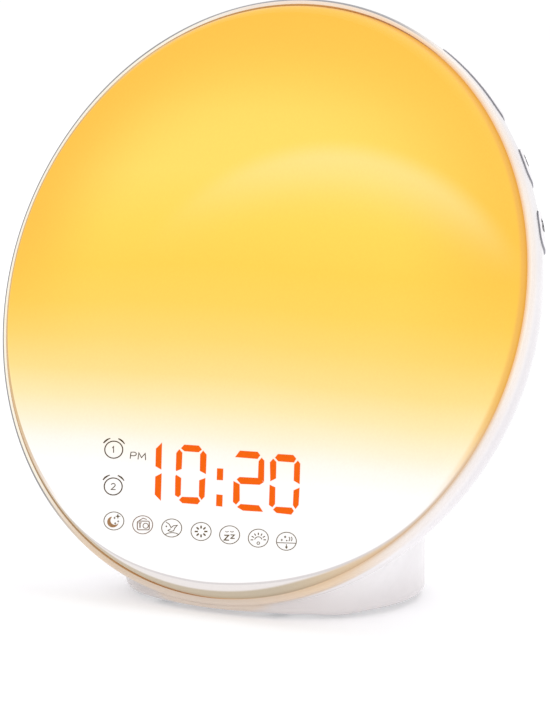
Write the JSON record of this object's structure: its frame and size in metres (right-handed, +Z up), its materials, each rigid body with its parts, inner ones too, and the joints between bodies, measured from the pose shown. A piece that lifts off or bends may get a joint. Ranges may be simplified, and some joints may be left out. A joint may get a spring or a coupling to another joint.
{
  "type": "sunrise alarm clock",
  "caption": "Bedside sunrise alarm clock: a round glowing diffuser tilted back in a white bowl with an integral foot, side keys, a loudspeaker and a lit time display.",
  "frame": {"origin": "on the surface it stands on, under the centre of its box", "axes": "+Z up, the face looks toward -Y and is tilted back, +X to the right seen from the front"},
  "size_m": [0.1732, 0.0832, 0.1688],
  "materials": {
    "housing": "gloss white moulded ABS",
    "diffuser": "opal white, lit from behind",
    "key": "gloss white moulded ABS",
    "white_inner": "matt white moulding",
    "lamp_board": "white solder mask",
    "white_led": "phosphor yellow",
    "rgb_led": "clear resin in white frame",
    "display_glow": "orange light guide",
    "display_clear": "pale light guide",
    "film": "printed film",
    "board": "green solder mask",
    "chip": "black epoxy",
    "shield": "tinned steel can",
    "capacitor": "blue sleeve",
    "socket": "ivory nylon",
    "ribbon": "flat flexible cable",
    "frame_steel": "dark zinc plating",
    "magnet": "dark ferrite",
    "cone_paper": "black paper pulp",
    "foam": "black foam",
    "mesh": "black woven cloth",
    "copper": "enamelled copper",
    "red_lead": "red insulation",
    "white_lead": "white insulation",
    "plunger": "black nylon",
    "switch": "black nylon with steel cap",
    "cover": "fine textured white ABS",
    "cell": "nickel-plated steel",
    "contact": "gold-flashed spring strip",
    "foot_rubber": "grey rubber",
    "jack": "black nylon",
    "pin": "nickel plate",
    "grommet": "black rubber",
    "screw": "zinc-plated steel"
  },
  "bodies": {
    "clock": {"rear_housing": "housing", "front_diffuser": "diffuser", "light_reflector": "white_inner", "led_board": "lamp_board", "white_leds": "white_led", "rgb_leds": "rgb_led", "display_light_box": "white_inner", "display_segments": "display_glow", "icon_lenses": "display_clear", "display_film": "film", "display_board": "board", "display_leds": "display_glow", "display_driver": "chip", "display_ribbon": "ribbon", "main_board": "board", "main_chip": "chip", "radio_module": "shield", "amplifier_chip": "chip", "clock_crystal": "shield", "capacitors": "capacitor", "board_connectors": "socket", "speaker_basket": "frame_steel", "speaker_magnet": "magnet", "speaker_surround": "foam", "speaker_gasket": "foam", "speaker_cloth": "mesh", "speaker_leads": "red_lead", "right_key_board": "board", "left_key_board": "board", "right_key_switches": "switch", "left_key_switches": "switch", "bottom_cover": "cover", "coin_cell": "cell", "battery_contacts": "contact", "rubber_feet": "foot_rubber", "dc_jack": "jack", "dc_jack_pin": "pin", "dc_jack_nut": "screw", "antenna_grommet": "grommet", "light_leads": "white_lead", "base_leads": "red_lead", "board_screws": "screw", "speaker_screws": "screw", "base_screws": "screw"},
    "right_long": {"right_long_key": "key", "right_long_plunger": "plunger"},
    "right_upper": {"right_upper_key": "key", "right_upper_plunger": "plunger"},
    "right_lower": {"right_lower_key": "key", "right_lower_plunger": "plunger"},
    "left_long": {"left_long_key": "key", "left_long_plunger": "plunger"},
    "left_upper": {"left_upper_key": "key", "left_upper_plunger": "plunger"},
    "left_lower": {"left_lower_key": "key", "left_lower_plunger": "plunger"},
    "cell_door": {"battery_door": "cover"},
    "cone": {"speaker_cone": "cone_paper", "speaker_dust_cap": "cone_paper", "voice_coil": "copper"}
  },
  "joints": [
    {"name": "right_long_press", "type": "slide", "parent": "clock", "child": "right_long", "axis": [-0.8387, -0.1547, -0.5222], "range_m": [0, 0.0005], "stiffness_N_per_m": 1500},
    {"name": "right_upper_press", "type": "slide", "parent": "clock", "child": "right_upper", "axis": [-0.8387, -0.1547, -0.5222], "range_m": [0, 0.0005], "stiffness_N_per_m": 1500},
    {"name": "right_lower_press", "type": "slide", "parent": "clock", "child": "right_lower", "axis": [-0.8387, -0.1547, -0.5222], "range_m": [0, 0.0005], "stiffness_N_per_m": 1500},
    {"name": "left_long_press", "type": "slide", "parent": "clock", "child": "left_long", "axis": [0.8387, -0.1547, -0.5222], "range_m": [0, 0.0005], "stiffness_N_per_m": 1500},
    {"name": "left_upper_press", "type": "slide", "parent": "clock", "child": "left_upper", "axis": [0.8387, -0.1547, -0.5222], "range_m": [0, 0.0005], "stiffness_N_per_m": 1500},
    {"name": "left_lower_press", "type": "slide", "parent": "clock", "child": "left_lower", "axis": [0.8387, -0.1547, -0.5222], "range_m": [0, 0.0005], "stiffness_N_per_m": 1500},
    {"name": "cell_door_turn", "type": "hinge", "parent": "clock", "child": "cell_door", "pos_m": [0, -0.0011, 0.0025], "axis": [0, 0, 1], "range_deg": [0, 60]},
    {"name": "cone_travel", "type": "slide", "parent": "clock", "child": "cone", "axis": [0, -0.9588, 0.284], "range_m": [-0.0005, 0.0005], "stiffness_N_per_m": 3000}
  ]
}
